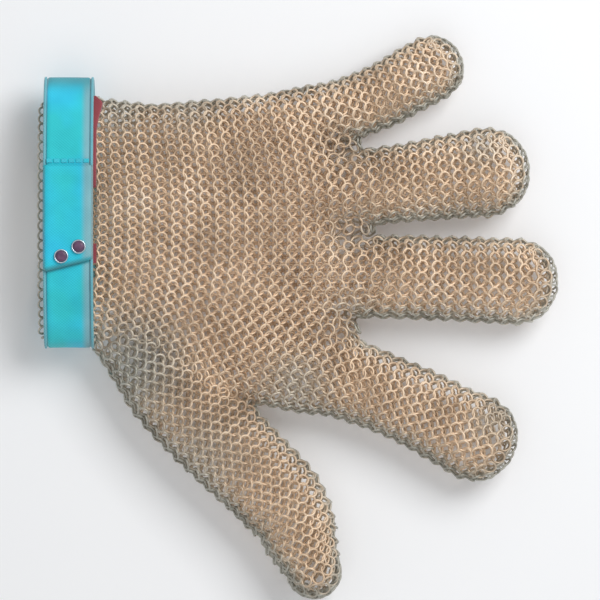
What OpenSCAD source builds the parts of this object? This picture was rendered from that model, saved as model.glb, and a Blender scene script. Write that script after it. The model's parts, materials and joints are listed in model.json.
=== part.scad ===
// Five-finger ring mesh safety glove with a textile wrist strap, worn flat and spread.
// +X runs to the fingertips, +Y to the little finger and +Z to the back of the hand.
// The origin is the middle of the wrist opening.

/* [Mail] */
// Thickness of the ring mesh, which the plain mail shells stand for
mail_t = 2.2; // [1.6:0.1:2.6]
// Height of the surface that the palm side lies on
rest_z = -18; // [-20:0.5:-17]
// How much slimmer the bending bands are than the shells beside them
band_slim = 0.6; // [0.3:0.1:1]
// Room between a bending band and the shell that it meets
band_gap = 0.6; // [0.3:0.1:0.8]
// Mean radius of one ring of the wrist edge
ring_r = 2.3; // [2:0.1:2.4]
// Wire diameter of the rings
wire_d = 0.6; // [0.4:0.1:0.8]

/* [Joints] */
// Half of the knuckle's bend, which the two sides of its palm side gap share
knuckle_half_bend = 37.5; // [30:0.5:40]
// Half of the middle joint's bend
middle_half_bend = 40; // [30:0.5:42]
// Half of the end joint's bend
end_half_bend = 20; // [15:0.5:24]
// Height of the finger knuckle hinges
knuckle_z = 4; // [0:0.5:6]
// Height of the other hinges over the middle of the finger
hinge_rise = 3; // [1:0.5:4]
// Room between a shell and the hinge line on the back of the hand
hinge_gap = 1.5; // [1:0.1:2]

/* [Hand] */
// Where the shells of the hand begin, just past the strap
hand_start = 24; // [23.6:0.1:26]
// Where the shells of the hand end on the back, just before the knuckles
hand_end = 94; // [90:0.5:95]
// Half thickness of the fingers
finger_half_t = 13; // [11.5:0.1:13.5]
// Half thickness of the little finger
little_half_t = 11.5; // [11:0.1:12]
// Half thickness of the thumb
thumb_half_t = 14; // [12.5:0.1:14]

/* [Strap] */
// Width of the strap across the wrist
strap_w = 20.5; // [19:0.1:21]
// Where the strap's wrist edge lies
strap_start = 1.2; // [0.8:0.1:1.5]
// Half width of the strap's loop
strap_a = 55.3; // [54.5:0.1:56]
// Half height of the strap's loop
strap_b = 19; // [18.5:0.1:19]
// Thickness of the webbing
strap_t = 2; // [1.6:0.1:2.1]
// How far the loop stands off towards the little finger
strap_shift = 3.3; // [3:0.1:3.5]
// Width of the folded rim along each long edge
rim_w = 1.4; // [1:0.1:2]
// Thickness of the strap's overlapping end
tongue_t = 1.8; // [1.4:0.1:2]
// Radius of a press stud's cap
cap_r = 2.2; // [2.2:0.1:3]
// Radius of a press stud's post
post_r = 1.7; // [1.4:0.1:1.8]

/* [Hidden] */
sides = 24;
strap_sides = 96;
strap_z = 1;
disc_fn = 32;
slice_t = 0.3;
steel = [0.66, 0.6, 0.53];
steel_band = [0.6, 0.55, 0.49];
turquoise = [0.13, 0.72, 0.83];
turquoise_rim = [0.35, 0.72, 0.8];
tape_red = [0.62, 0.14, 0.16];
plum = [0.3, 0.16, 0.28];
thread = [0.55, 0.75, 0.8];

FINGERS = ["little", "ring", "middle", "index"];
DIGITS = ["thumb", "little", "ring", "middle", "index"];

// A digit's hinge places and outline: knuckle, middle joint, end joint and tip as [x, y],
// the turn of its free part, half widths at the four places, half thickness,
// and the knuckle hinge's turn and height
THUMB = ["thumb", [69.2, -85.8], [98.5, -115], [98.5, -115], [114.9, -152.5], -66,
         [19, 18.3, 18.3, 11.3], thumb_half_t, -47.9, rest_z + thumb_half_t + hinge_rise];
LITTLE = ["little", [98, 38.6], [133.4, 48.9], [153.4, 59.2], [171.3, 68.5], 27.3,
          [12.2, 13.4, 13.8, 13.8], little_half_t, 0, knuckle_z];
RING = ["ring", [103, 10.3], [148, 15.6], [174.2, 19], [199.6, 22.2], 7.3,
        [15.6, 16.2, 18, 18.6], finger_half_t, 0, knuckle_z];
MIDDLE = ["middle", [106, -22.6], [154, -23.2], [183, -24.4], [211.2, -25.6], -2.4,
          [16.7, 17.4, 17.6, 18], finger_half_t, 0, knuckle_z];
INDEX = ["index", [104, -57.5], [146, -73], [169.9, -85], [192.8, -96.5], -26.6,
         [17.6, 16.4, 17.4, 18.2], finger_half_t, 0, knuckle_z];

// Hand outline: x, low y, high y, side radii of the thumb side and little finger side
HAND_ROWS = [
    [22, -50.6, 50.8, 12, 11.5],
    [45, -57, 48, 13, 11.5],
    [70, -69, 49.4, 14, 11.5],
    [100, -75.5, 51.5, 14, 11.5]
];
hand_half_t = 16.5;
// Thumb root: x, y, turn, half width
THUMB_ROOT = [
    [40, -48, -75, 17.5],
    [54, -69, -56, 20],
    [72, -88.8, -47.9, 19]
];
thumb_root_half_t = 14.5;

// ---- Skins through rings of points ----

function along(turn) = [cos(turn), sin(turn), 0];
function across(turn) = [-sin(turn), cos(turn), 0];

// One oval section. A cut leans the section below the hinge height away from the hinge,
// along the heading, so that two neighbours close on each other at full bend.
function section(place, turn, a, b, inset = 0, cut = 0, hinge_z = 0, heading = undef) =
    let (
        ahead = is_undef(heading) ? along(turn) : heading / (heading * along(turn))
    )
    [for (i = [0 : sides - 1])
        let (
            t = 360 * i / sides,
            p = place + across(turn) * (a - inset) * cos(t) + [0, 0, (b - inset) * sin(t)]
        )
        p + ahead * cut * max(0, hinge_z - p.z)
    ];

// Closed skin through rings of points: a tube wall if joined, or a cup with two end faces
module skin(rings, joined) {
    n = len(rings[0]);
    m = len(rings);
    walls = [for (k = [0 : joined ? m - 1 : m - 2], i = [0 : n - 1], half = [0, 1])
        let (j = (i + 1) % n, a = k * n, b = ((k + 1) % m) * n)
        half == 0 ? [a + i, b + j, a + j] : [a + i, b + i, b + j]
    ];
    ends = joined ? [] : [
        [for (i = [0 : n - 1]) i],
        [for (i = [0 : n - 1]) m * n - 1 - i]
    ];
    polyhedron([for (ring = rings, p = ring) p], concat(walls, ends));
}

function flat(p, z) = [p.x, p.y, z];
function toward(p, q) = [q.x - p.x, q.y - p.y, 0];
function reversed(list) = [for (i = [len(list) - 1 : -1 : 0]) list[i]];

// ---- Digits ----

// Section of a digit at one of its hinges. side is 1 on the far side of the hinge, -1 on the near one.
function hinge_section(d, k, side, half_bend, inset, back_off, slim) =
    let (
        places = [d[1], d[2], d[3], d[4]],
        turn = k == 0 ? d[8] : d[5],
        b = d[7],
        hinge_z = k == 0 ? d[9] : rest_z + b + hinge_rise,
        same = k > 0 && places[k] == places[k - 1],
        heading = side > 0 ? toward(places[k], places[k + 1])
                           : toward(places[same ? k - 2 : k - 1], places[k]),
        mid = flat(places[k], rest_z + b)
    )
    section(mid + along(turn) * side * back_off, turn, d[6][k] - slim, b - slim, inset,
            side * tan(half_bend), hinge_z, heading);

// Tube of mail between two hinges of a digit
module phalanx(d, k, half_bend_near, k_far, half_bend_far) {
    outer = [hinge_section(d, k, 1, half_bend_near, 0, hinge_gap, 0),
             hinge_section(d, k_far, -1, half_bend_far, 0, hinge_gap, 0)];
    inner = [hinge_section(d, k_far, -1, half_bend_far, mail_t, hinge_gap, 0),
             hinge_section(d, k, 1, half_bend_near, mail_t, hinge_gap, 0)];
    color(steel) skin(concat(outer, inner), true);
}

// Bending band over a hinge inside a digit
module joint_band(d, k, half_bend) {
    off = hinge_gap - band_gap;
    outer = [hinge_section(d, k, -1, half_bend, 0, off, band_slim),
             hinge_section(d, k, 1, half_bend, 0, off, band_slim)];
    inner = [hinge_section(d, k, 1, half_bend, mail_t, off, band_slim),
             hinge_section(d, k, -1, half_bend, mail_t, off, band_slim)];
    color(steel_band) skin(concat(outer, inner), true);
}

// Near end of a knuckle band, where it meets the shells of the hand
function knuckle_root(d, inset) =
    let (
        thumb = d[0] == "thumb",
        place = thumb ? d[1] - [along(d[8]).x, along(d[8]).y] * (hinge_gap - band_gap)
                      : [hand_end + band_gap, d[1].y]
    )
    section(flat(place, rest_z + d[7]), d[8], d[6][0] - band_slim, d[7] - band_slim, inset,
            -tan(knuckle_half_bend), d[9]);

module knuckle_band(d) {
    off = hinge_gap - band_gap;
    outer = [knuckle_root(d, 0), hinge_section(d, 0, 1, knuckle_half_bend, 0, off, band_slim)];
    inner = [hinge_section(d, 0, 1, knuckle_half_bend, mail_t, off, band_slim),
             knuckle_root(d, mail_t)];
    color(steel_band) skin(concat(outer, inner), true);
}

// Rings of a fingertip's dome
function dome(d, inset) =
    let (
        b = d[7],
        long = d[6][3] * 0.95,
        start = flat(d[4], rest_z + b) - along(d[5]) * long
    )
    [for (t = [0, 20, 40, 58, 74])
        section(start + along(d[5]) * (long - inset) * sin(t), d[5],
                (d[6][3] - inset) * cos(t), (b - inset) * cos(t))
    ];

// Closed end of a digit, open towards its last joint
module tip(d, half_bend) {
    outer = concat([hinge_section(d, 2, 1, half_bend, 0, hinge_gap, 0)], dome(d, 0));
    inner = concat([hinge_section(d, 2, 1, half_bend, mail_t, hinge_gap, 0)], dome(d, mail_t));
    color(steel) skin(concat(reversed(inner), outer), false);
}

// ---- Hand ----

module disc(place, turn, r) {
    translate(place)
        rotate([0, 90, turn])
            cylinder(r = r, h = slice_t, center = true, $fn = disc_fn);
}

module hand_slice(row, inset) {
    disc([row[0], row[2] - row[4], rest_z + row[4]], 0, row[4] - inset);
    disc([row[0], row[1] + row[3], rest_z + row[3]], 0, row[3] - inset);
    disc([row[0], (row[1] + row[2]) / 2, rest_z + hand_half_t], 0, hand_half_t - inset);
}

module thumb_slice(row, inset) {
    for (s = [-1, 1]) {
        place = flat(row, rest_z + thumb_root_half_t) + across(row[2]) * s * (row[3] - thumb_root_half_t);
        disc(place, row[2], thumb_root_half_t - inset);
    }
}

module hand_solid(inset) {
    for (i = [0 : len(HAND_ROWS) - 2])
        hull() {
            hand_slice(HAND_ROWS[i], inset);
            hand_slice(HAND_ROWS[i + 1], inset);
        }
    for (i = [0 : len(THUMB_ROOT) - 2])
        hull() {
            thumb_slice(THUMB_ROOT[i], inset);
            thumb_slice(THUMB_ROOT[i + 1], inset);
        }
}

// Room in front of a hinge: upright over the hinge line and leaning back below it
module hinge_room(width_low, width_high, half_bend) {
    reach = 40;
    rotate([90, 0, 0])
        translate([0, 0, -width_high])
            linear_extrude(width_low + width_high)
                polygon([[0, reach], [0, 0], [-reach * tan(half_bend), -reach],
                         [reach, -reach], [reach, reach]]);
}

// How far the room in front of the thumb's hinge reaches to each side of it
thumb_room_low = 30;
thumb_room_high = 23;

// Shell of the hand between two heights
module hand_shell(low_z, high_z) {
    wide = 400;
    color(steel)
        difference() {
            hand_solid(0);
            hand_solid(mail_t);
            translate([hand_end, 0, knuckle_z])
                hinge_room(100, 100, knuckle_half_bend);
            translate([THUMB[1].x, THUMB[1].y, THUMB[9]])
                rotate(THUMB[8])
                    translate([-hinge_gap, 0, 0])
                        hinge_room(thumb_room_low, thumb_room_high, knuckle_half_bend);
            translate([hand_start - wide, -wide / 2, -wide / 2])
                cube(wide);
            translate([-wide / 2, -wide / 2, high_z])
                cube(wide);
            translate([-wide / 2, -wide / 2, low_z - wide])
                cube(wide);
        }
}

seam_z = rest_z + 10.4;
seam_gap = 0.05;

module back_mail() {
    hand_shell(seam_z + seam_gap, rest_z + 3 * hand_half_t);
}

module palm_mail() {
    hand_shell(rest_z - hand_half_t, seam_z - seam_gap);
}

// Mail gathered under the strap: half width, half height, its growth towards the hand and its start
cuff_a = 48.2;
cuff_b = 14.6;
cuff_growth = 0.6;
cuff_start = strap_start + 3.9;

module cuff_mail() {
    near = [cuff_start, 0, 0];
    far = [hand_start - band_gap, 0, 0];
    far_a = cuff_a + cuff_growth;
    color(steel)
        skin([section(near, 0, cuff_a, cuff_b), section(far, 0, far_a, cuff_b),
              section(far, 0, far_a, cuff_b, mail_t), section(near, 0, cuff_a, cuff_b, mail_t)],
             true);
}

// Last row of rings, which shows past the strap's wrist edge
edge_ring_count = 36;

module wrist_edge_rings() {
    a = cuff_a - mail_t / 2;
    b = cuff_b - mail_t / 2;
    lean = 24;
    // Turns the rings towards the long sides, so that they lie evenly along the oval
    even_out = 14;
    color(steel)
        for (i = [0 : edge_ring_count - 1]) {
            t = 360 * (i + 0.5) / edge_ring_count;
            spread = t + even_out * sin(2 * t);
            face = atan2(sin(spread) * a, cos(spread) * b);
            translate([cuff_start - ring_r - wire_d, a * cos(spread), b * sin(spread)])
                rotate([face - 90, 0, 0])
                    rotate([0, lean, 0])
                        rotate_extrude($fn = disc_fn)
                            translate([ring_r - wire_d / 2, 0])
                                circle(d = wire_d, $fn = 16);
        }
}

// ---- Strap ----

function strap_point(t, out) =
    [strap_shift + (strap_a + out) * cos(t), strap_z + (strap_b + out) * sin(t)];

// Part of the loop from one turn to another, between two distances off its outer face
module strap_arc(from, to, low, high) {
    steps = max(4, ceil((to - from) / 3));
    polygon(concat(
        [for (i = [0 : steps]) strap_point(from + (to - from) * i / steps, high)],
        [for (i = [steps : -1 : 0]) strap_point(from + (to - from) * i / steps, low)]
    ));
}

// Whole loop between two distances off its outer face
module strap_ring(low, high) {
    difference() {
        polygon([for (i = [0 : strap_sides - 1]) strap_point(360 * i / strap_sides, high)]);
        polygon([for (i = [0 : strap_sides - 1]) strap_point(360 * i / strap_sides, low)]);
    }
}

// Stands a drawing of the Y-Z plane up along X
module along_x(start, length) {
    translate([start, 0, 0])
        rotate([90, 0, 90])
            linear_extrude(length)
                children();
}

// Press stud places as [x, y]
STUDS = [[8.8, -14.6], [15.9, -10.7]];
function strap_top(y) = strap_z + strap_b * sqrt(1 - pow((y - strap_shift) / strap_a, 2));

module at_studs() {
    for (s = STUDS)
        translate([s.x, s.y, strap_top(s.y)])
            children();
}

fit = 0.25;
joint_gap = 0.05;

module wrist_strap() {
    color(turquoise)
        difference() {
            along_x(strap_start + rim_w, strap_w - 2 * rim_w)
                strap_ring(-strap_t, 0);
            at_studs()
                cylinder(r = post_r - fit, h = 4 * strap_t, center = true, $fn = disc_fn);
        }
}

// How far the rims stand out over the webbing, inside and outside
rim_inside = 0.2;
rim_outside = 0.1;

module strap_rim(start) {
    color(turquoise_rim)
        along_x(start, rim_w - joint_gap)
            strap_ring(-strap_t - rim_inside, rim_outside);
}

module strap_rim_wrist() {
    strap_rim(strap_start);
}

module strap_rim_hand() {
    strap_rim(strap_start + strap_w - rim_w + joint_gap);
}

// Thread tacks that hold the strap to the mail, in two rows round its lower half
module strap_tacks() {
    tack_w = 3;
    tack_low = 0.45;
    half_turn = 1;
    first = 195;
    step = 30;
    color(thread)
        for (third = [1, 2], k = [0 : 5])
            let (x = strap_start + strap_w * third / 3, t = first + k * step)
                along_x(x - tack_w / 2, tack_w)
                    strap_arc(t - half_turn, t + half_turn, -strap_t - tack_low, -strap_t - joint_gap);
}

// The tongue's root and end as turns of the loop, and where its slanted end meets the wrist edge
tongue_root = 70.4;
tongue_end = 116;
tongue_end_y = -20.3;
tongue_slant = 14;
tongue_lift = 0.3;
tongue_side_gap = 0.1;

// Overlapping end of the strap, with its end cut on the slant
module strap_tongue() {
    cut = 60;
    color(turquoise)
        difference() {
            along_x(strap_start + tongue_side_gap, strap_w - 2 * tongue_side_gap)
                strap_arc(tongue_root, tongue_end, tongue_lift, tongue_lift + tongue_t);
            translate([strap_start, tongue_end_y, 0])
                rotate([0, 0, tongue_slant])
                    translate([-cut / 2, -cut, 0])
                        cube(cut);
            at_studs()
                cylinder(r = post_r + fit, h = 4 * tongue_t, center = true, $fn = disc_fn);
        }
}

// Row of stitches that fastens the tongue's root to the strap
module tongue_seam() {
    stitch_w = 2.2;
    stitch_h = 0.5;
    pitch = 3;
    first_x = strap_start + rim_w + 0.2;
    color(thread)
        for (i = [0 : 5])
            along_x(first_x + i * pitch, stitch_w)
                strap_arc(tongue_root - 3.4, tongue_root - 1.6, joint_gap, stitch_h);
}

// Posts riveted through the strap, with a flange inside it
module stud_posts() {
    flange_t = 0.6;
    flange_r = post_r * 1.8;
    flange_gap = 0.35;
    shoulder_z = 0.15;
    color("silver")
        at_studs() {
            translate([0, 0, -strap_t - flange_t - flange_gap])
                cylinder(r = flange_r, h = flange_t, $fn = disc_fn);
            translate([0, 0, -strap_t - 2 * fit])
                cylinder(r = post_r - 2 * fit, h = strap_t + 2 * fit + tongue_lift, $fn = disc_fn);
            translate([0, 0, shoulder_z])
                cylinder(r = post_r, h = tongue_t - 0.2, $fn = disc_fn);
        }
}

cap_rise = tongue_lift + tongue_t + 0.25;

module stud_caps() {
    side_h = 0.7;
    crown_h = 0.5;
    color(plum)
        at_studs()
            translate([0, 0, cap_rise]) {
                cylinder(r = cap_r, h = side_h, $fn = disc_fn);
                translate([0, 0, side_h])
                    cylinder(r1 = cap_r, r2 = cap_r * 0.6, h = crown_h, $fn = disc_fn);
            }
}

module stud_rims() {
    rim_r = 0.3;
    color("silver")
        at_studs()
            translate([0, 0, cap_rise + rim_r])
                rotate_extrude($fn = disc_fn)
                    translate([cap_r + rim_r + 0.1, 0])
                        circle(r = rim_r, $fn = 16);
}

tape_t = 0.7;
tape_drop = 0.3;
tape_end = strap_start + strap_w + 1.3;

// Red tape sewn inside the strap over part of the loop, standing a little past its hand edge
module tape(from, to, hidden_w) {
    start = strap_start + strap_w - hidden_w;
    color(tape_red)
        along_x(start, tape_end - start)
            strap_arc(from, to, -strap_t - tape_drop - tape_t, -strap_t - tape_drop);
}

module red_edge_tape() {
    tape(31, 79, 6);
}

module red_end_tape() {
    tape(104, 113, 2.2);
}

// ---- Nodes ----

cuff_mail();
back_mail();
palm_mail();
wrist_edge_rings();
knuckle_band(THUMB);  // thumb_knuckle_mail
knuckle_band(LITTLE);  // little_knuckle_mail
knuckle_band(RING);  // ring_knuckle_mail
knuckle_band(MIDDLE);  // middle_knuckle_mail
knuckle_band(INDEX);  // index_knuckle_mail
phalanx(THUMB, 0, knuckle_half_bend, 2, middle_half_bend);  // thumb_proximal_mail
phalanx(LITTLE, 0, knuckle_half_bend, 1, middle_half_bend);  // little_proximal_mail
phalanx(RING, 0, knuckle_half_bend, 1, middle_half_bend);  // ring_proximal_mail
phalanx(MIDDLE, 0, knuckle_half_bend, 1, middle_half_bend);  // middle_proximal_mail
phalanx(INDEX, 0, knuckle_half_bend, 1, middle_half_bend);  // index_proximal_mail
joint_band(THUMB, 2, middle_half_bend);  // thumb_joint_mail
joint_band(LITTLE, 1, middle_half_bend);  // little_joint_mail
joint_band(RING, 1, middle_half_bend);  // ring_joint_mail
joint_band(MIDDLE, 1, middle_half_bend);  // middle_joint_mail
joint_band(INDEX, 1, middle_half_bend);  // index_joint_mail
phalanx(LITTLE, 1, middle_half_bend, 2, end_half_bend);  // little_middle_mail
phalanx(RING, 1, middle_half_bend, 2, end_half_bend);  // ring_middle_mail
phalanx(MIDDLE, 1, middle_half_bend, 2, end_half_bend);  // middle_middle_mail
phalanx(INDEX, 1, middle_half_bend, 2, end_half_bend);  // index_middle_mail
joint_band(LITTLE, 2, end_half_bend);  // little_end_joint_mail
joint_band(RING, 2, end_half_bend);  // ring_end_joint_mail
joint_band(MIDDLE, 2, end_half_bend);  // middle_end_joint_mail
joint_band(INDEX, 2, end_half_bend);  // index_end_joint_mail
tip(THUMB, middle_half_bend);  // thumb_tip_mail
tip(LITTLE, end_half_bend);  // little_tip_mail
tip(RING, end_half_bend);  // ring_tip_mail
tip(MIDDLE, end_half_bend);  // middle_tip_mail
tip(INDEX, end_half_bend);  // index_tip_mail
wrist_strap();
strap_rim_wrist();
strap_rim_hand();
strap_tacks();
strap_tongue();
tongue_seam();
stud_posts();
stud_caps();
stud_rims();
red_edge_tape();
red_end_tape();
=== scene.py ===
"""Five-finger ring mesh safety glove on a textile wrist strap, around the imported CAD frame.

The mail is made of real interlinked rings, four through each, on a lattice that runs from the wrist
to the closed fingertips. All lengths in this script are millimetres until a mesh is made. The hand lies
along x, from the wrist to the fingertips, and y runs from the thumb to the little finger. The back of the
hand is up.
"""
import json
import math
from collections import namedtuple

import bpy
import numpy as np
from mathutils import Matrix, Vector


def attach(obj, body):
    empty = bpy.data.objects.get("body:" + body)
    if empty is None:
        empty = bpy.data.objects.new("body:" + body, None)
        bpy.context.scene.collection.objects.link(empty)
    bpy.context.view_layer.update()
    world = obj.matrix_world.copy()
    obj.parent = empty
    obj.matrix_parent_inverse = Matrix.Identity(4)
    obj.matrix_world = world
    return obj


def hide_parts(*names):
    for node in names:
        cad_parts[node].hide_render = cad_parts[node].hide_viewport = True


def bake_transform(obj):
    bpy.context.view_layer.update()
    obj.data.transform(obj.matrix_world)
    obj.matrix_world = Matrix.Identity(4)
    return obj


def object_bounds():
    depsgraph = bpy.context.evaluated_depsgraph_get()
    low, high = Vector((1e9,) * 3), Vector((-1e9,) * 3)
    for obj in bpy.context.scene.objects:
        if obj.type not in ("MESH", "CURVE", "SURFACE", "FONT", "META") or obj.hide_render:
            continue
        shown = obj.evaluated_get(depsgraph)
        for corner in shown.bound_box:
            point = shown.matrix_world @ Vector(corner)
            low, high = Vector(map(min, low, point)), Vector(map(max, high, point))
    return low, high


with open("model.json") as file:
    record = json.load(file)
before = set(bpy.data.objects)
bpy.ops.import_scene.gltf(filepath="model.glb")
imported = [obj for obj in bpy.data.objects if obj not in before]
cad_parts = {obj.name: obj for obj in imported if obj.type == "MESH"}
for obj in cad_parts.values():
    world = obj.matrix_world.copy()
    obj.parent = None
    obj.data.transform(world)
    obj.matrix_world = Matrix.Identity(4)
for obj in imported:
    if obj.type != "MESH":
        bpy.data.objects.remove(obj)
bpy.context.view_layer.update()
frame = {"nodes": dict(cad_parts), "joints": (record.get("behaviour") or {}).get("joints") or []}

MM = 0.001
JOINTS = {joint["name"]: joint for joint in frame["joints"]}

# ---- Sizes of the hand inside the mail ----

MAIL_INSET = 1.3          # from the outside of the mail to the surface that the ring centres lie on
REST_Z = -18.0            # height of the surface that the palm side lies on
HAND_HALF_T = 16.5
FINGER_HALF_T = 13.0
CUFF_HALF_T = 15.2
CUFF_END = 20.0           # from here the hand grows thicker, and squarer in section
THICKEN_OVER = 20.0
SQUARE_OVER = 25.0
SQUARENESS = 0.6
THIN_FROM = 70.0          # from here the palm thins to the fingers' thickness
THIN_OVER = 40.0
ROOT_LENGTH = 32.0        # how far a finger reaches back into the palm
TIP_ROUND = 0.95          # length of a fingertip's dome over its half width
BLEND_ROUND = 1.6         # how softly two limbs run into each other

# Stations along the hand: x, low y, high y
HAND_ROWS = [(2, -48.6, 48.6), (22, -50.6, 50.8), (45, -57, 48), (70, -69, 49.4), (100, -75.5, 51.5)]
HAND_END = 106.0
HAND_ROUND = 14.0

# length is past the last hinge, half_widths are at the knuckle, joint, end joint and tip,
# columns are of rings across the back, and rows are past the web
Finger = namedtuple("Finger", "name length half_widths half_t columns rows")
FINGERS = [
    Finger("index", 25.6, (17.6, 16.4, 17.4, 18.2), FINGER_HALF_T, 6, 12),
    Finger("middle", 28.2, (16.7, 17.4, 17.6, 18.0), FINGER_HALF_T, 6, 12),
    Finger("ring", 25.6, (15.6, 16.2, 18.0, 18.6), FINGER_HALF_T, 6, 11),
    Finger("little", 20.2, (12.2, 13.4, 13.8, 13.8), 11.5, 5, 9),
]
# Axis points of the thumb before its knuckle, and past its joint
THUMB_ROOT = [(22, -24), (38, -46), (54, -68)]
THUMB_END = [(106, -130), (111.5, -143.5)]
THUMB_HALF_WIDTHS = (15.0, 17.5, 20.0, 19.0, 18.3, 15.5, 11.3)
THUMB_HALF_T = 14.0

# Webs between neighbouring fingers: x, y and half width
WEBS = [(130.8, -43.5, 7.0), (136.5, -2.5, 4.0), (131.6, 30.8, 4.0)]
WEB_HALF_T = 9.5
WEB_DOME = 8.0
WEB_BACK = (45.0, 25.0)   # how far a web's axis reaches back into the palm
# Ends of the web row at the sides of the index and the little finger
WEB_ROW_LOW = (112.0, -78.0)
WEB_ROW_HIGH = (119.2, 54.8)

# ---- Sizes of the mail ----

WIRE_D = 0.95
RING_R = 2.35
RING_SCALES = (0.84, 1.07)           # how far a ring's size follows the lattice
RING_LEAN = math.radians(25)
LEAN_SPREAD = math.radians(4)
RING_TILT = 0.17                     # slope of each ring over its neighbour in the same row
TILT_SPREAD = 0.05
RING_SEED = 7
RING_SEGMENTS = 16
WIRE_SEGMENTS = 6
POINTS_PER_RING = RING_SEGMENTS * WIRE_SEGMENTS
PITCH_ACROSS = 4.9
PITCH_ALONG = 5.9
ACROSS_WEIGHT = 0.6                  # a ring's size follows the two pitches in these shares
ALONG_WEIGHT = 0.4
PALM_ROWS = 22
PALM_END = 125.0                     # where the palm's last row lies on average
PALM_POWER = 2.4                     # 2 is an ellipse, and more is squarer
SIDE_QUADS = 3
THUMB_COLUMNS = 7
THUMB_OWNER = len(FINGERS)
EDGE_ROW_X = 1.1
CUFF_MAIL_END = 23.5
FRONT_SHIFT = 2.95                   # half a row, so that the front's rings lie behind the back's holes
LAST_ROW_REACH = 0.45                # how far over a limb's dome its last full row lies
SEAM_BIAS = 0.8                      # how far the thumb stands out of the palm where its own rings begin
THUMB_START = 12.0                   # how far along its axis the thumb's own rings begin
FINGER_BEND_BEFORE = 22.0            # how far before a knuckle its piece of mail begins
THUMB_BEND_BEFORE = 18.0
BEND_AFTER = 16.0                    # how far past a hinge a bend would reach at most, which nothing built here uses

# The steel gets a painted warm reflection of skin where a ring faces up, and stays greyer at the sides and
# at the wrist edge
EDGE_ON = 0.25                       # a ring whose normal rises no more than this is all grey
FACING_SPAN = 0.7                    # and one whose normal rises this much more is all warm
DULL_EDGE = 5.0                      # reach of the greyer mail at the wrist edge
DULLEST = 0.2                        # share of the warmth that is left there
# Places where the mail looks grey, some where it stands off the hand and two of painted shade, at the
# lower left of the palm and of the thumb: x, y, reach and the least warmth there
LOOSE_AND_SHADED_SPOTS = [
    (36, -60, 34, 0.0), (104, -68, 22, 0.4), (125, 33, 20, 0.9), (128, 0, 20, 0.95), (125, -38, 20, 0.85),
    (60, 50, 22, 0.5), (32, 48, 18, 0.2), (62, -98, 30, 0.5), (185, -82, 14, 0.5), (180, 30, 12, 0.5),
]

# ---- Sizes of the strap ----

STRAP_START = 1.2
STRAP_W = 20.5
STRAP_END = STRAP_START + STRAP_W
STRAP_A = 55.3
STRAP_B = 19.0
STRAP_SHIFT = 3.3
STRAP_Z = 1.0
STRAP_T = 2.0
STRAP_WAVE = 0.12         # how far the worn loop waves in and out
STRAP_HOLD = 20.5         # the mail is inside the strap up to here
STRAP_RELEASE = 3.0       # and swells to its own shape over this length
RIM_W = 1.4
RIM_INSIDE = 0.2
RIM_OUTSIDE = 0.25
RIM_COVER = 0.6           # share of a rim's width that the webbing leaves to it
TONGUE_T = 1.8
TONGUE_LIFT = 0.3
TONGUE_SIDE_GAP = 0.1
TONGUE_ROOT = math.radians(70.4)
TONGUE_END = math.radians(116)
TONGUE_END_Y = -20.3
TONGUE_SLANT = math.radians(14)
TAPE_FROM = math.radians(26)
TAPE_TO = math.radians(79)
TAPE_HIDDEN = 6.0
TAPE_SHOWN = 1.3
TAPE_DEPTHS = (-1.0, -0.3)           # under the inside of the strap
TAPE_GROWTH = 2.6
TAPE_SWELL = math.radians(3)
TAPE_FADE = math.radians(28)
TAPE_SINK = 0.6           # how much lower the tape's added width lies, per mm
LOOP_STEPS = 256
TONGUE_STEPS = 41
TAPE_STEPS = 48

# Where the webbing is greyer along x, gets painted shade along y where the loop turns away from the light,
# and a painted shadow before and past the tongue's end
MUTED_MARGIN = (STRAP_END - 5.5, STRAP_END - 2.5)
SIDE_SHADE = (51.0, 58.6)
# Painted shadow band along the tongue's slanted end.
END_SHADOW_LINE = ((-2.2, -0.8), (1.6, -0.2))
YARN_PITCH_X = 1.3
YARN_PITCH_Y = 1.1

# ---- Floor and camera ----

FLOOR_GAP = 0.2
FLOOR_HALF = 1500
VIEW_X = 105.8
VIEW_Y = -32.4
VIEW_Z = -5               # height at which the picture is VIEW_WIDTH wide
VIEW_WIDTH = 246


# ---- Small helpers ----

def unit(v):
    v = np.asarray(v, float)
    return v / np.maximum(np.linalg.norm(v, axis=-1, keepdims=True), 1e-9)


def dots(a, b):
    """Dot product of each row of a with the same row of b."""
    return (a * b).sum(1, keepdims=True)


def towards(directions, wanted):
    """Each direction or its opposite, whichever is nearer to the one wanted."""
    return directions * np.where(dots(directions, wanted) < 0, -1, 1)


def smoothstep(t):
    t = np.clip(t, 0, 1)
    return t * t * (3 - 2 * t)


def joint_place(name):
    return np.array(JOINTS[name]["pos_m"][:2]) / MM


def joint_heading(name):
    axis = JOINTS[name]["axis"]
    return np.array([axis[1], -axis[0]])


def mesh_object(name, vertices, faces, smooth=True):
    """A mesh object from points in millimetres and faces of equal size."""
    mesh = bpy.data.meshes.new(name)
    vertices = np.asarray(vertices, np.float32) * MM
    faces = np.asarray(faces, np.int32)
    mesh.vertices.add(len(vertices))
    mesh.vertices.foreach_set("co", vertices.ravel())
    mesh.loops.add(faces.size)
    mesh.loops.foreach_set("vertex_index", faces.ravel())
    mesh.polygons.add(len(faces))
    mesh.polygons.foreach_set("loop_start", np.arange(0, faces.size, faces.shape[1], dtype=np.int32))
    mesh.polygons.foreach_set("use_smooth", np.full(len(faces), smooth))
    mesh.update(calc_edges=True)
    mesh.validate()
    obj = bpy.data.objects.new(name, mesh)
    bpy.context.scene.collection.objects.link(obj)
    return obj


# ---- The hand's surface as one smooth field ----

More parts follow.
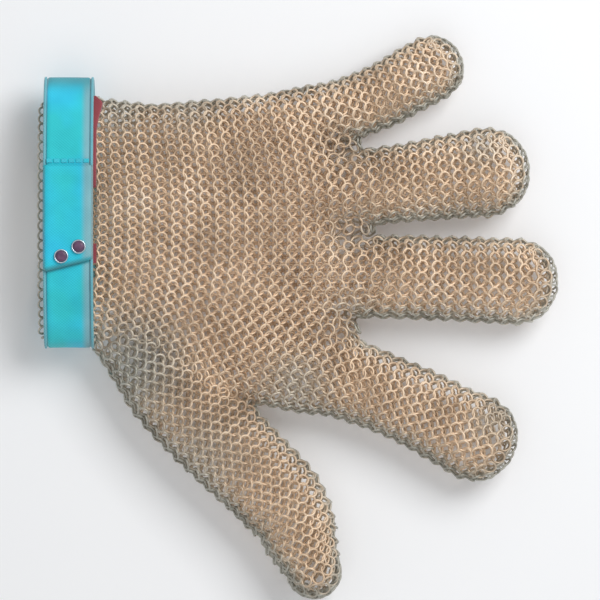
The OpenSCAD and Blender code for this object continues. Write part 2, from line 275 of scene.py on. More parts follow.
def spline(points, step=1.5):
    """Points about a step apart on a Catmull-Rom curve, and the distance along it of each given point."""
    pts = np.array(points, float)
    pts = np.vstack([2 * pts[0] - pts[1], pts, 2 * pts[-1] - pts[-2]])
    out, marks, length = [pts[1]], [0.0], 0.0
    for i in range(1, len(pts) - 2):
        p0, p1, p2, p3 = pts[i - 1:i + 3]
        count = max(2, int(np.linalg.norm(p2 - p1) / step))
        for k in range(1, count + 1):
            t = k / count
            p = 0.5 * (2 * p1 + (p2 - p0) * t + (2 * p0 - 5 * p1 + 4 * p2 - p3) * t * t
                       + (3 * p1 - p0 - 3 * p2 + p3) * t ** 3)
            length += np.linalg.norm(p - out[-1])
            out.append(p)
        marks.append(length)
    return np.array(out), np.array(marks)


class Limb:
    """A rounded limb along a curved axis, closed by a dome at its far end."""

    def __init__(self, axis_points, half_widths, half_t, dome):
        self.axis, self.marks = spline(axis_points)
        steps = np.linalg.norm(np.diff(self.axis, axis=0), axis=1)
        self.station = np.concatenate([[0], np.cumsum(steps)])
        self.heading = unit(np.gradient(self.axis, axis=0))
        self.half_w = np.interp(self.station, self.marks, half_widths) - MAIL_INSET
        self.half_t = half_t - MAIL_INSET
        self.mid_z = REST_Z + half_t
        self.dome = dome - MAIL_INSET

    def local(self, points):
        """Nearest axis sample, and the distances along and across from it."""
        gap = points[:, None, :2] - self.axis[None]
        near = np.argmin((gap ** 2).sum(2), axis=1)
        gap = gap[np.arange(len(points)), near]
        ahead = self.heading[near]
        along = (gap * ahead).sum(1)
        across = gap[:, 1] * ahead[:, 0] - gap[:, 0] * ahead[:, 1]
        return near, along, across

    def field(self, points):
        """About the distance of each point from the limb's surface, below 0 inside."""
        near, along, across = self.local(points)
        last = near == len(self.axis) - 1
        cap = np.where(last, np.maximum(along, 0) / self.dome, 0)
        cap = np.where(near == 0, np.minimum(along, 0) / self.half_t, cap)
        height = (points[:, 2] - self.mid_z) / self.half_t
        return (np.sqrt((across / self.half_w[near]) ** 2 + height ** 2 + cap ** 2) - 1) * self.half_t

    def station_of(self, points):
        """Distance along the axis of each point."""
        near, along, _ = self.local(points)
        return self.station[near] + along

    def at(self, station):
        """Middle, heading and half width at a distance along the axis."""
        inside = min(station, self.station[-1])
        place = np.array([np.interp(inside, self.station, self.axis[:, i]) for i in (0, 1)])
        ahead = unit([np.interp(inside, self.station, self.heading[:, i]) for i in (0, 1)])
        return place + ahead * (station - inside), ahead, np.interp(inside, self.station, self.half_w)


def hand_shape(x):
    """Middle and half width of the hand, then middle and half thickness, at a distance from the wrist."""
    rows = np.array(HAND_ROWS, float)
    low, high = np.interp(x, rows[:, 0], rows[:, 1]), np.interp(x, rows[:, 0], rows[:, 2])
    grow = smoothstep((x - CUFF_END) / THICKEN_OVER)
    fall = (HAND_HALF_T - FINGER_HALF_T) * smoothstep((x - THIN_FROM) / THIN_OVER)
    half_t = CUFF_HALF_T + (HAND_HALF_T - CUFF_HALF_T) * grow - fall
    mid_z = (REST_Z + HAND_HALF_T) * grow - fall
    return (low + high) / 2, (high - low) / 2 - MAIL_INSET, mid_z, half_t - MAIL_INSET


def hand_field(points):
    """About the distance of each point from the palm's surface, below 0 inside."""
    x = points[:, 0]
    mid_y, half_w, mid_z, half_t = hand_shape(x)
    power = 2 + SQUARENESS * smoothstep((x - CUFF_END) / SQUARE_OVER)
    cap = np.maximum(x - HAND_END, 0) / HAND_ROUND
    total = (np.abs((points[:, 1] - mid_y) / half_w) ** power
             + np.abs((points[:, 2] - mid_z) / half_t) ** power + cap ** power)
    return (total ** (1 / power) - 1) * half_t


def finger_limb(finger):
    knuckle, middle, end = (joint_place(f"{finger.name}_{j}") for j in ("knuckle", "joint", "end_joint"))
    dome = finger.half_widths[-1] * TIP_ROUND
    back = unit(unit(middle - knuckle) + [1, 0])
    tip = end + joint_heading(f"{finger.name}_end_joint") * (finger.length - dome)
    axis = [knuckle - back * ROOT_LENGTH, knuckle, middle, end, tip]
    return Limb(axis, (finger.half_widths[0],) + finger.half_widths, finger.half_t, dome)


def thumb_limb():
    knuckle, middle = joint_place("thumb_knuckle"), joint_place("thumb_joint")
    axis = THUMB_ROOT + [tuple(knuckle), tuple(middle)] + THUMB_END
    return Limb(axis, THUMB_HALF_WIDTHS, THUMB_HALF_T, THUMB_HALF_WIDTHS[-1])


def web_limb(x, y, half_w):
    axis = [(x - back, y) for back in (*WEB_BACK, WEB_DOME)]
    return Limb(axis, (half_w + MAIL_INSET,) * len(axis), WEB_HALF_T, WEB_DOME)


finger_limbs = [finger_limb(finger) for finger in FINGERS]
thumb = thumb_limb()
hand_fields = [hand_field] + [limb.field for limb in finger_limbs] + [web_limb(*web).field for web in WEBS]


def joined(fields):
    """One field for several limbs that run softly into each other."""
    def field(points):
        values = np.array([f(points) for f in fields])
        low = values.min(0)
        return low - BLEND_ROUND * np.log(np.exp(-(values - low) / BLEND_ROUND).sum(0))
    return field


def gradient(field, points, step=0.05):
    here = field(points)
    slope = np.array([field(points + step * axis) - here for axis in np.eye(3)]).T / step
    return here, slope


def project(field, points, rounds=2):
    """Moves points on to the surface where the field is zero, by small enough steps."""
    longest, flattest = 4, 0.05
    for _ in range(rounds):
        value, slope = gradient(field, points)
        move = value / np.maximum((slope ** 2).sum(1), flattest)
        points = points - np.clip(move, -longest, longest)[:, None] * slope
    return points


# ---- The lattice that the rings follow ----

class Lattice:
    """Points joined into quads. The first edge of a quad runs across the limb and the second along it.

    The owner of a point or quad is its finger's place in FINGERS, or THUMB_OWNER.
    """

    def __init__(self):
        self.points, self.quads, self.owner, self.quad_owner, self.fixed = [], [], [], [], []

    def add(self, point, owner, fixed=False):
        self.points.append(np.array(point, float))
        self.owner.append(owner)
        self.fixed.append(fixed)
        return len(self.points) - 1

    def rows(self, near, far, owners, closed=True):
        """Quads between two rows of point numbers."""
        count = len(near) if closed else len(near) - 1
        for k in range(count):
            n = (k + 1) % len(near)
            self.quads.append((near[k], near[n], far[n], far[k]))
            self.quad_owner.append(owners[k] if isinstance(owners, list) else owners)

    def freeze(self):
        self.points = np.array(self.points)
        self.quads = np.array(self.quads)
        self.owner, self.quad_owner = np.array(self.owner), np.array(self.quad_owner)
        self.fixed = np.array(self.fixed)

    def edges(self):
        """Point pairs and the length that each would like to have."""
        quads = self.quads
        across = np.vstack([quads[:, [0, 1]], quads[:, [3, 2]]])
        along = np.vstack([quads[:, [0, 3]], quads[:, [1, 2]]])
        pairs = np.sort(np.vstack([across, along]), axis=1)
        rest = np.concatenate([np.full(len(across), PITCH_ACROSS), np.full(len(along), PITCH_ALONG)])
        pairs, first = np.unique(pairs, axis=0, return_index=True)
        return pairs, rest[first]

    def relax(self, field, rounds=160):
        """Evens the lattice out on the surface, as springs between its points would."""
        spring, smoothing, step, shortest = 0.7, 0.3, 0.45, 0.5
        pairs, rest = self.edges()
        near, far = pairs.T
        degree = np.bincount(pairs.ravel(), minlength=len(self.points))[:, None]
        held = self.fixed[:, None]
        points = project(field, self.points, 4)
        for r in range(rounds):
            span = points[far] - points[near]
            length = np.linalg.norm(span, axis=1, keepdims=True)
            pull = span * (spring * (1 - rest[:, None] / np.maximum(length, shortest)) + smoothing)
            move = np.zeros_like(points)
            np.add.at(move, near, pull)
            np.add.at(move, far, -pull)
            points = points + np.where(held, 0, step * move / degree)
            if r % 2:
                points = project(field, points, 1)
        self.points = project(field, points, 3)

    def frames(self, field):
        """Middle, directions across and along, normal and the two pitches, for points then for quads."""
        points, quads = self.points, self.quads
        corner = points[quads]
        first_across, second_across = corner[:, 1] - corner[:, 0], corner[:, 2] - corner[:, 3]
        first_along, second_along = corner[:, 3] - corner[:, 0], corner[:, 2] - corner[:, 1]
        quad_across = np.stack([first_across, first_across, second_across, second_across], 1)
        quad_along = np.stack([first_along, second_along, second_along, first_along], 1)
        point_across, pitch_across = gather(quad_across, quads, len(points))
        point_along, pitch_along = gather(quad_along, quads, len(points))
        middle = project(field, np.vstack([points, corner.mean(1)]), 2)
        across = np.vstack([point_across, quad_across.mean(1)])
        along = np.vstack([point_along, quad_along.mean(1)])
        normal = unit(gradient(field, middle)[1])
        across = unit(across - normal * dots(across, normal))
        along = towards(np.cross(normal, across), along)
        pitch = np.stack([np.concatenate([pitch_across, np.linalg.norm(quad_across, axis=2).mean(1)]),
                          np.concatenate([pitch_along, np.linalg.norm(quad_along, axis=2).mean(1)])], 1)
        return middle, across, along, normal, pitch


def gather(vectors, quads, count):
    """Mean direction and length at each point of the edges given for the corners of each quad."""
    flat, index = vectors.reshape(-1, 3), quads.ravel()
    lead = np.zeros((count, 3))
    lead[index] = flat
    sign = np.where((flat * lead[index]).sum(1) < 0, -1, 1)[:, None]
    total, length, uses = np.zeros((count, 3)), np.zeros(count), np.zeros(count)
    np.add.at(total, index, unit(flat) * sign)
    np.add.at(length, index, np.linalg.norm(flat, axis=1))
    np.add.at(uses, index, 1)
    return total, length / np.maximum(uses, 1)


def oval(columns, half_w, half_t, power=2.0):
    """Points evenly along an oval: columns on the back, then a side, the front and the other side."""
    samples = 721
    turn = np.linspace(0, 2 * math.pi, samples)
    y = -np.sign(np.cos(turn)) * np.abs(np.cos(turn)) ** (2 / power) * half_w
    z = np.sign(np.sin(turn)) * np.abs(np.sin(turn)) ** (2 / power) * half_t
    length = np.concatenate([[0], np.cumsum(np.hypot(np.diff(y), np.diff(z)))])
    count = 2 * columns + 2 * SIDE_QUADS
    want = (np.arange(count) + SIDE_QUADS / 2) / count * length[-1]
    return np.interp(want, length, y), np.interp(want, length, z)


def front_share(k, columns):
    """0 on the back, 1 on the front and in between on the sides, for a place in the order of oval()."""
    if k <= columns:
        return 0.0
    if k < columns + SIDE_QUADS:
        return (k - columns) / SIDE_QUADS
    if k <= 2 * columns + SIDE_QUADS:
        return 1.0
    return 1 - (k - 2 * columns - SIDE_QUADS) / SIDE_QUADS


def web_column(k, columns):
    """The column of the web row that a place in the order of oval() leads to."""
    return max(0, min(k, columns, 2 * columns + SIDE_QUADS - k))


def sides_of(row, columns):
    """A row cut into its back, high side, front and low side. The front runs the same way as the back."""
    start, stop = columns + SIDE_QUADS, 2 * columns + SIDE_QUADS + 1
    return row[:columns + 1], row[columns + 1:start], row[start:stop][::-1], row[stop:]


def tube_row(limb, station, columns):
    """Places of one row of a limb, in the order that oval() gives."""
    place, ahead, half_w = limb.at(station)
    over = max(0.0, station - limb.station[-1]) / limb.dome
    shrink = math.sqrt(max(0.1, 1 - over ** 2))
    y, z = oval(columns, half_w * shrink, limb.half_t * shrink)
    across = np.array([-ahead[1], ahead[0]])
    return [(*(place + across * side + ahead * FRONT_SHIFT * front_share(k, columns)), limb.mid_z + height)
            for k, (side, height) in enumerate(zip(y, z))]


def close_end(lattice, row, columns, limb, owner):
    """Closes the far end of a limb with a grid between the back and the front of its last row."""
    back, high, front, low = sides_of(row, columns)
    low = low[::-1]
    tip = limb.axis[-1] + limb.heading[-1] * limb.dome
    lines = [back]
    for i in range(SIDE_QUADS - 1):
        share = (i + 1) / SIDE_QUADS
        line = [low[i]]
        for k in range(1, columns):
            point = lattice.points[back[k]] * (1 - share) + lattice.points[front[k]] * share
            point[:2] = point[:2] * 0.5 + tip * 0.5
            line.append(lattice.add(point, owner))
        lines.append(line + [high[i]])
    lines.append(front)
    for near, far in zip(lines, lines[1:]):
        lattice.rows(near, far, owner, closed=False)


def limb_rows(lattice, limb, columns, first_row, stations, owner):
    """Rows of a limb from its first row, which may be None, to its closed end."""
    row = first_row
    for station in stations:
        new = [lattice.add(point, owner) for point in tube_row(limb, station, columns)]
        if row:
            lattice.rows(row, new, owner)
        row = new
    close_end(lattice, row, columns, limb, owner)


def last_station(limb):
    """Where the last full row of a limb lies, just past the start of its dome."""
    return limb.station[-1] + LAST_ROW_REACH * limb.dome


def web_line():
    """Places of the web row's columns from the index side to the little finger side."""
    ends = [WEB_ROW_LOW] + [web[:2] for web in WEBS] + [WEB_ROW_HIGH]
    line = []
    for start, stop, finger in zip(ends, ends[1:], FINGERS):
        steps = finger.columns
        line += [np.array(start) + (np.array(stop) - start) * k / steps for k in range(steps)]
    return np.array(line + [np.array(WEB_ROW_HIGH)])


def palm_owners():
    """The finger that each place of a palm row belongs to, in the order of oval()."""
    across = [0] + [f for f, finger in enumerate(FINGERS) for _ in range(finger.columns)]
    side = SIDE_QUADS - 1
    return across + [len(FINGERS) - 1] * side + across[::-1] + [0] * side


def palm_rows(lattice, columns):
    """Rows of the palm from the wrist's edge to the webs. Returns the last one."""
    web, owners = web_line(), palm_owners()
    row = None
    for j in range(PALM_ROWS + 1):
        share = j / PALM_ROWS
        mean_x = EDGE_ROW_X + share * (PALM_END - EDGE_ROW_X)
        mid_y, half_w, mid_z, half_t = (float(v) for v in hand_shape(np.array(mean_x)))
        y, z = oval(columns, half_w, half_t, PALM_POWER)
        new = []
        for k, owner in enumerate(owners):
            web_x, web_y = web[web_column(k, columns)]
            x = EDGE_ROW_X + share * (web_x - EDGE_ROW_X)
            x += FRONT_SHIFT * front_share(k, columns)
            place_y = mid_y + y[k] + share ** 3 * (web_y - mid_y - y[k])
            new.append(lattice.add((x, place_y, mid_z + z[k]), owner, fixed=j == 0))
        if row:
            lattice.rows(row, new, owners)
        row = new
    return row


def finger_rows(lattice, palm_row, columns):
    """Rows of the four fingers from the palm's last row, with a new line of points between two fingers."""
    back, high_side, front, low = sides_of(palm_row, columns)
    first = 0
    for f, (limb, finger) in enumerate(zip(finger_limbs, FINGERS)):
        last = first + finger.columns
        high = high_side
        if f < len(FINGERS) - 1:
            top, bottom = lattice.points[back[last]], lattice.points[front[last]]
            high = [lattice.add(top + (bottom - top) * i / SIDE_QUADS, f) for i in range(1, SIDE_QUADS)]
        loop = back[first:last + 1] + high + front[first:last + 1][::-1] + low
        root = lattice.points[back[first]] / 2 + lattice.points[back[last]] / 2
        start = limb.station_of(root[None])[0]
        stations = start + (last_station(limb) - start) * np.arange(1, finger.rows + 1) / finger.rows
        limb_rows(lattice, limb, finger.columns, loop, stations, f)
        first, low = last, high[::-1]


def hand_lattice():
    """The lattice of the palm and the four fingers."""
    lattice = Lattice()
    columns = sum(finger.columns for finger in FINGERS)
    finger_rows(lattice, palm_rows(lattice, columns), columns)
    lattice.freeze()
    return lattice


def thumb_lattice():
    """The lattice of the thumb, which begins inside the palm. Its first row is held where it is."""
    lattice = Lattice()
    stop = last_station(thumb)
    count = round(stop / PITCH_ALONG)
    stations = np.arange(count + 1) * stop / count
    limb_rows(lattice, thumb, THUMB_COLUMNS, None, stations, THUMB_OWNER)
    lattice.freeze()
    lattice.fixed[:2 * THUMB_COLUMNS + 2 * SIDE_QUADS] = True
    return lattice


# ---- Rings ----

class Rings(namedtuple("Rings", "middle across along normal radius lean owner row_end")):
    """Places, directions and sizes of many rings."""

    def pick(self, mask):
        return Rings(*(value[mask] for value in self))


def together(groups):
    """All rings of several groups."""
    return Rings(*(np.concatenate(values) for values in zip(*groups)))


def under_strap(points, rise):
    """Draws the mail in where the strap goes round it."""
    y = (points[:, 1] - STRAP_SHIFT) / (STRAP_A - STRAP_T - rise)
    z = (points[:, 2] - STRAP_Z) / (STRAP_B - STRAP_T - rise)
    held = 1 - smoothstep((points[:, 0] - STRAP_HOLD) / STRAP_RELEASE)
    shrink = 1 + (1 / np.maximum(np.hypot(y, z), 1) - 1) * held
    drawn = points.copy()
    drawn[:, 1] = STRAP_SHIFT + (points[:, 1] - STRAP_SHIFT) * shrink
    drawn[:, 2] = STRAP_Z + (points[:, 2] - STRAP_Z) * shrink
    return drawn


def scattered(across, along, normal, lean):
    """Tilts each ring over its neighbour in the row, and makes every lean and tilt a little different."""
    chance = np.random.default_rng(RING_SEED)
    lean = lean + chance.normal(0, LEAN_SPREAD, len(lean))
    across = unit(across + normal * chance.normal(RING_TILT, TILT_SPREAD, len(lean))[:, None])
    along = towards(np.cross(unit(normal - across * dots(across, normal)), across), along)
    normal = towards(unit(np.cross(across, along)), normal)
    return across, along, normal, lean


def rings_on(lattice, relax_field, keep, surface):
    """Rings at the points and in the middles of the quads, which lean opposite ways."""
    lattice.relax(relax_field)
    middle, across, along, normal, pitch = lattice.frames(relax_field)
    kept = keep(middle)
    middle = project(surface, middle, 3)
    normal = unit(gradient(surface, middle)[1])
    across = unit(across - normal * dots(across, normal))
    along = towards(np.cross(normal, across), along)
    scale = ACROSS_WEIGHT * pitch[:, 0] / PITCH_ACROSS + ALONG_WEIGHT * pitch[:, 1] / PITCH_ALONG
    radius = RING_R * np.clip(scale, *RING_SCALES)
    lean = np.repeat([RING_LEAN, -RING_LEAN], [len(lattice.points), len(lattice.quads)])
    owner = np.concatenate([lattice.owner, lattice.quad_owner])
    row_end = np.concatenate([lattice.fixed, np.zeros(len(lattice.quads), bool)])
    across, along, normal, lean = scattered(across, along, normal, lean)
    rise = radius * np.sin(RING_LEAN) + WIRE_D / 2
    middle[:, 2] = np.maximum(middle[:, 2], REST_Z + rise)
    middle = under_strap(middle, rise)
    return Rings(middle, across, along, normal, radius, lean, owner, row_end).pick(kept)


def ring_points(rings):
    """Points on the wire of each ring, by ring, then round the ring and then round the wire."""
    turn = np.arange(RING_SEGMENTS) * 2 * math.pi / RING_SEGMENTS
    wire = np.arange(WIRE_SEGMENTS) * 2 * math.pi / WIRE_SEGMENTS
    cos_lean, sin_lean = np.cos(rings.lean)[:, None], np.sin(rings.lean)[:, None]
    axis = rings.normal * cos_lean + rings.along * sin_lean
    second = rings.along * cos_lean - rings.normal * sin_lean
    radial = (rings.across[:, None] * np.cos(turn)[None, :, None]
              + second[:, None] * np.sin(turn)[None, :, None])
    reach = rings.radius[:, None, None] + WIRE_D / 2 * np.cos(wire)[None, None, :]
    points = (rings.middle[:, None, None] + radial[:, :, None] * reach[..., None]
              + axis[:, None, None] * (WIRE_D / 2 * np.sin(wire))[None, None, :, None])
    return points.reshape(-1, 3)


def ring_faces(count):
    """Quads of a number of rings, for points in the order of ring_points()."""
    turn, wire = np.meshgrid(np.arange(RING_SEGMENTS), np.arange(WIRE_SEGMENTS), indexing="ij")
    next_turn, next_wire = (turn + 1) % RING_SEGMENTS, (wire + 1) % WIRE_SEGMENTS
    corners = [(turn, wire), (next_turn, wire), (next_turn, next_wire), (turn, next_wire)]
    one = np.stack([i * WIRE_SEGMENTS + j for i, j in corners], -1).reshape(-1, 4)
    return (one[None] + np.arange(count)[:, None, None] * POINTS_PER_RING).reshape(-1, 4)


def painted_reflection_share(rings):
    """Share of a painted warm skin reflection on each ring's steel, from 0 to 1, and lower in spots of
    painted shade.
    """
    warm = smoothstep((np.abs(rings.normal[:, 2]) - EDGE_ON) / FACING_SPAN)
    from_edge = smoothstep((rings.middle[:, 0] - EDGE_ROW_X) / DULL_EDGE)
    warm = warm * (DULLEST + (1 - DULLEST) * from_edge)
    # Some of these spots are painted shade, at the lower left of the palm and of the thumb.
    for x, y, reach, least in LOOSE_AND_SHADED_SPOTS:
        gap = np.hypot(rings.middle[:, 0] - x, rings.middle[:, 1] - y) / reach
        warm = warm * (least + (1 - least) * smoothstep(gap))
    return warm


def per_point(values):
    """One value for each ring, repeated for all of its points."""
    return np.repeat(values, POINTS_PER_RING).astype(np.float32)


def ring_mesh(name, rings):
    """All rings of one piece as a mesh of closed wire loops."""
    obj = mesh_object(name, ring_points(rings), ring_faces(len(rings.middle)))
    # The share of painted warm skin reflection, low in spots of painted shade.
    facing = obj.data.attributes.new("facing", "FLOAT", "POINT")
    facing.data.foreach_set("value", per_point(painted_reflection_share(rings)))
    return obj


def bend_share(station, hinge, before, after):
    """0 before a hinge, a half at it and 1 past it."""
    gap = station - hinge
    return smoothstep(0.5 + 0.5 * np.where(gap < 0, gap / before, gap / after))


def axis_point(limb, station):
    """A point on a limb's axis in metres."""
    place, _, _ = limb.at(station)
    return [place[0] * MM, place[1] * MM, limb.mid_z * MM]


def finish_mail(obj, material):
    obj.data.materials.append(material)


def riding_mail(name, rings, nodes, material):
    obj = ring_mesh(name, rings)
    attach(obj, "hand")
    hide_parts(*nodes)
    finish_mail(obj, material)


def bending_mail(name, rings, limb, hinge, before, after, nodes, material):
    obj = ring_mesh(name, rings)
    axis_point(limb, hinge - before)
    axis_point(limb, hinge + after)
    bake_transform(obj)
    bend_share(limb.station_of(rings.middle), hinge, before, after)
    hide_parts(*nodes)
    finish_mail(obj, material)


# bodies are those past the hand, one for each hinge, and so are the pieces and the nodes they replace.
# hinges says which of the limb's axis points are hinges.
DigitParts = namedtuple("DigitParts", "bodies pieces nodes hinges bend_before")
FINGER_PARTS = DigitParts(
    bodies=("proximal", "middle", "tip"),
    pieces=("knuckle", "joint", "tip"),
    nodes=(("knuckle", "proximal"), ("joint", "middle"), ("end_joint", "tip")),
    hinges=slice(1, 4),
    bend_before=FINGER_BEND_BEFORE,
)
THUMB_PARTS = DigitParts(
    bodies=("proximal", "tip"),
    pieces=("knuckle", "tip"),
    nodes=(("knuckle", "proximal"), ("joint", "tip")),
    hinges=slice(3, 5),
    bend_before=THUMB_BEND_BEFORE,
)


def digit_mail(name, limb, rings, parts, material):
    """Cuts a digit's rings into one piece for each hinge. Returns the rings that stay with the hand."""
    station = limb.station_of(rings.middle)
    hinges = list(limb.marks[parts.hinges])
    halfway = [(near + far) / 2 for near, far in zip(hinges, hinges[1:])]
    cuts = [hinges[0] - parts.bend_before, *halfway, math.inf]
    for k, hinge in enumerate(hinges):
        mine = rings.pick((station >= cuts[k]) & (station < cuts[k + 1]))
        after = min(cuts[k + 1] - hinge, BEND_AFTER)
        nodes = [f"{name}_{node}_mail" for node in parts.nodes[k]]
        bending_mail(f"{name}_{parts.pieces[k]}_rings", mine, limb, hinge, hinge - cuts[k], after,
                     nodes, material)
    return rings.pick(station < cuts[0])


def build_mail(material):
    """All the mail: the digits' pieces first, one for each hinge, and then the four pieces that stay with
    the hand.
    """
    without_thumb = joined(hand_fields)
    whole = joined(hand_fields + [thumb.field])

    def on_thumb(points):
        outside_palm = without_thumb(points) > thumb.field(points) + SEAM_BIAS
        return outside_palm & (thumb.station_of(points) > THUMB_START)

    def on_hand(points):
        return ~on_thumb(points)

    main = rings_on(hand_lattice(), without_thumb, on_hand, whole)
    side = rings_on(thumb_lattice(), thumb.field, on_thumb, whole)
    stay = []
    for f, (limb, finger) in enumerate(zip(finger_limbs, FINGERS)):
        mine = main.pick(main.owner == f)
        stay.append(digit_mail(finger.name, limb, mine, FINGER_PARTS, material))
    stay.append(digit_mail("thumb", thumb, side, THUMB_PARTS, material))
    hand = together(stay)
    edge = hand.row_end & (hand.owner != THUMB_OWNER)
    cuff = ~edge & (hand.middle[:, 0] < CUFF_MAIL_END)
    back = hand.normal[:, 2] >= 0
    riding_mail("wrist_edge_row", hand.pick(edge), ["wrist_edge_rings"], material)
    riding_mail("cuff_rings", hand.pick(cuff), ["cuff_mail"], material)
    riding_mail("back_rings", hand.pick(~edge & ~cuff & back), ["back_mail"], material)
    riding_mail("palm_rings", hand.pick(~edge & ~cuff & ~back), ["palm_mail"], material)


# ---- Materials ----

def new_material(name, roughness=0.5, metallic=0.0, sheen=0.0):
    material = bpy.data.materials.new(name)
    material.use_nodes = True
    shader = material.node_tree.nodes["Principled BSDF"]
    shader.inputs["Roughness"].default_value = roughness
    shader.inputs["Metallic"].default_value = metallic
    if sheen:
        shader.inputs["Sheen Weight"].default_value = sheen
        shader.inputs["Sheen Roughness"].default_value = 0.5
    return material, material.node_tree, shader


def noise(tree, scale, detail=3.0):
    node = tree.nodes.new("ShaderNodeTexNoise")
    node.inputs["Scale"].default_value = scale
    node.inputs["Detail"].default_value = detail
    source = tree.nodes.new("ShaderNodeTexCoord").outputs["Object"]
    tree.links.new(source, node.inputs["Vector"])
    return node.outputs["Fac"]


def ramp(tree, fac, *stops):
    """A colour that runs through the stops, each of which is a place and a colour."""
    node = tree.nodes.new("ShaderNodeValToRGB")
    elements = node.color_ramp.elements
    elements[0].position, elements[0].color = stops[0][0], (*stops[0][1], 1)
    elements[1].position, elements[1].color = stops[-1][0], (*stops[-1][1], 1)
    for place, color in stops[1:-1]:
        elements.new(place).color = (*color, 1)
    tree.links.new(fac, node.inputs["Fac"])
    return node.outputs["Color"]


def mix_colors(tree, fac, first, second):
    """The first colour where fac is 0 and the second where it is 1."""
    node = tree.nodes.new("ShaderNodeMix")
    node.data_type = "RGBA"
    tree.links.new(fac, node.inputs[0])
    tree.links.new(first, node.inputs[6])
    tree.links.new(second, node.inputs[7])
    return node.outputs[2]


def bump(tree, shader, height, distance):
    node = tree.nodes.new("ShaderNodeBump")
    node.inputs["Strength"].default_value = 0.6
    node.inputs["Distance"].default_value = distance
    tree.links.new(height, node.inputs["Height"])
    tree.links.new(node.outputs["Normal"], shader.inputs["Normal"])


def combine(tree, operation, *values):
    """The result of one Math node, whose values are sockets or numbers."""
    node = tree.nodes.new("ShaderNodeMath")
    node.operation = operation
    for socket, value in zip(node.inputs, values):
        if isinstance(value, (int, float)):
            socket.default_value = value
        else:
            tree.links.new(value, socket)
    return node.outputs["Value"]


def ease(tree, value, start, stop):
    """0 at start and 1 at stop, which are in millimetres, of a value in metres."""
    node = tree.nodes.new("ShaderNodeMapRange")
    node.interpolation_type = "SMOOTHSTEP"
    node.inputs["From Min"].default_value = start * MM
    node.inputs["From Max"].default_value = stop * MM
    tree.links.new(value, node.inputs["Value"])
    return node.outputs["Result"]


def steel_material():
    """Satin stainless wire with noisy patches, a painted warm skin reflection mixed in by the ring's
    attribute, darker grey steel as painted shade in some spots, and fine drawing marks.
    """
    material, tree, shader = new_material("ring_steel", metallic=0.85)
    patches = noise(tree, scale=55.0, detail=2.0)
    warm = ramp(tree, patches, (0.3, (0.66, 0.51, 0.37)), (0.55, (0.84, 0.67, 0.50)),
                (0.75, (0.92, 0.78, 0.63)))
    cool = ramp(tree, patches, (0.3, (0.42, 0.41, 0.36)), (0.75, (0.64, 0.63, 0.57)))
    # The warm colour is a painted reflection of skin; the darker grey one is painted shade where the
    # attribute is lowered in shaded spots.
    facing = tree.nodes.new("ShaderNodeAttribute")
    facing.attribute_name = "facing"
    tree.links.new(mix_colors(tree, facing.outputs["Fac"], cool, warm), shader.inputs["Base Color"])
    scratches = noise(tree, scale=2600.0, detail=2.0)
    tree.links.new(combine(tree, "MULTIPLY_ADD", scratches, 0.3, 0.5), shader.inputs["Roughness"])
    bump(tree, shader, scratches, distance=0.00004)
    return material


def yarn_wave(tree, place, pitch):
    """A wave with a pitch in millimetres over a place in metres."""
    return combine(tree, "SINE", combine(tree, "MULTIPLY", place, 2 * math.pi / (pitch * MM)))


def weave_material(name, dark, light, worn=False):
    """Narrow webbing: fine ribs across and rows of crossing yarns, along the object's own directions."""
    material, tree, shader = new_material(name, roughness=0.78, sheen=0.3)
    split = tree.nodes.new("ShaderNodeSeparateXYZ")
    tree.links.new(tree.nodes.new("ShaderNodeTexCoord").outputs["Object"], split.inputs["Vector"])
    across = yarn_wave(tree, split.outputs["X"], YARN_PITCH_X)
    along = yarn_wave(tree, split.outputs["Y"], YARN_PITCH_Y)
    yarn = combine(tree, "MULTIPLY_ADD", combine(tree, "MULTIPLY", across, along), 0.25, 0.5)
    stains = combine(tree, "MULTIPLY", noise(tree, scale=90.0, detail=4.0), 0.5)
    mixed = combine(tree, "ADD", combine(tree, "MULTIPLY", yarn, 0.5), stains)
    color = ramp(tree, mixed, (0.3, dark), (0.7, light))
    # worn adds greener patches, a muted margin, painted shade and a painted shadow.
    if worn:
        color = worn_and_shaded_webbing(tree, color, mixed, split.outputs)
    tree.links.new(color, shader.inputs["Base Color"])
    bump(tree, shader, yarn, distance=0.0002)
    return material


def worn_and_shaded_webbing(tree, color, mixed, place):
    """Greener patches, a muted margin at the hand edge, painted shade where the loop's side turns away
    from the light, and a painted shadow by the tongue's end.
    """
    green = ramp(tree, mixed, (0.3, (0.008, 0.45, 0.50)), (0.7, (0.025, 0.66, 0.72)))
    patches = ramp(tree, noise(tree, scale=38.0, detail=2.0), (0.42, (0, 0, 0)), (0.62, (1, 1, 1)))
    color = mix_colors(tree, patches, color, green)
    muted = ramp(tree, mixed, (0.3, (0.13, 0.36, 0.42)), (0.7, (0.24, 0.50, 0.56)))
    color = mix_colors(tree, ease(tree, place["X"], *MUTED_MARGIN), color, muted)
    # Painted shade: a darker teal towards the side of the loop, used again for the painted shadow under
    # the tongue's end.
    painted_shade = ramp(tree, mixed, (0.3, (0.015, 0.26, 0.32)), (0.7, (0.05, 0.38, 0.45)))
    color = mix_colors(tree, ease(tree, place["Y"], *SIDE_SHADE), color, painted_shade)
    # A painted shadow in a narrow band along the tongue's slanted end.
    slope = combine(tree, "MULTIPLY", place["X"], -math.tan(TONGUE_SLANT))
    straightened = combine(tree, "ADD", place["Y"], slope)
    end = TONGUE_END_Y - STRAP_START * math.tan(TONGUE_SLANT)
    rising, falling = (ease(tree, straightened, end + start, end + stop) for start, stop in END_SHADOW_LINE)
    return mix_colors(tree, combine(tree, "MULTIPLY", rising, falling), color, painted_shade)


def plastic_material(name, dark, light):
    material, tree, shader = new_material(name, roughness=0.35)
    color = ramp(tree, noise(tree, scale=400.0), (0.35, dark), (0.7, light))
    tree.links.new(color, shader.inputs["Base Color"])
    bump(tree, shader, noise(tree, scale=3000.0), distance=0.00003)
    return material


